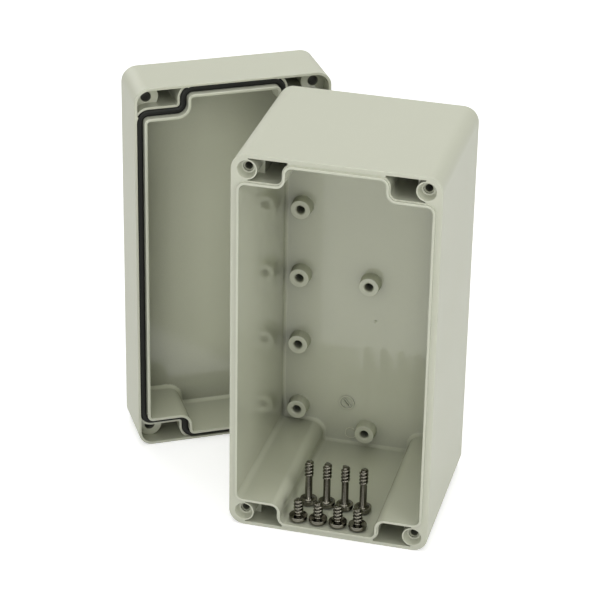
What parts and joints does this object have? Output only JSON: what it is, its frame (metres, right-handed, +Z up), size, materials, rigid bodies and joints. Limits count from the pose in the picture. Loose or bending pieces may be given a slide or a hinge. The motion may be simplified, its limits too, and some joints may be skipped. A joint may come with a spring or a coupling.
{
  "type": "plastic project box",
  "caption": "Deep screw-down plastic enclosure standing open on end, its gasketed lid beside it, with corner screw recesses, floor bosses and loose lid and plate screws.",
  "frame": {"origin": "middle of the base's foot, the end face that the open base stands on", "axes": "+Z up along the box's length, +Y towards the back of the base, so its mouth faces -Y, +X to the viewer's right"},
  "size_m": [0.1443, 0.1087, 0.16],
  "materials": {
    "housing": "satin moulded",
    "gasket": "matte",
    "screw_steel": "bright"
  },
  "bodies": {
    "base": {"base": "housing", "lid_screw_1": "screw_steel", "lid_screw_2": "screw_steel", "lid_screw_3": "screw_steel", "lid_screw_4": "screw_steel", "plate_screw_1": "screw_steel", "plate_screw_2": "screw_steel", "plate_screw_3": "screw_steel", "plate_screw_4": "screw_steel"},
    "lid": {"lid": "housing", "gasket": "gasket"}
  },
  "joints": [
    {"name": "lid_lift", "type": "slide", "parent": "base", "child": "lid", "axis": [0, 0, 1], "range_m": [0, 0.17]}
  ]
}
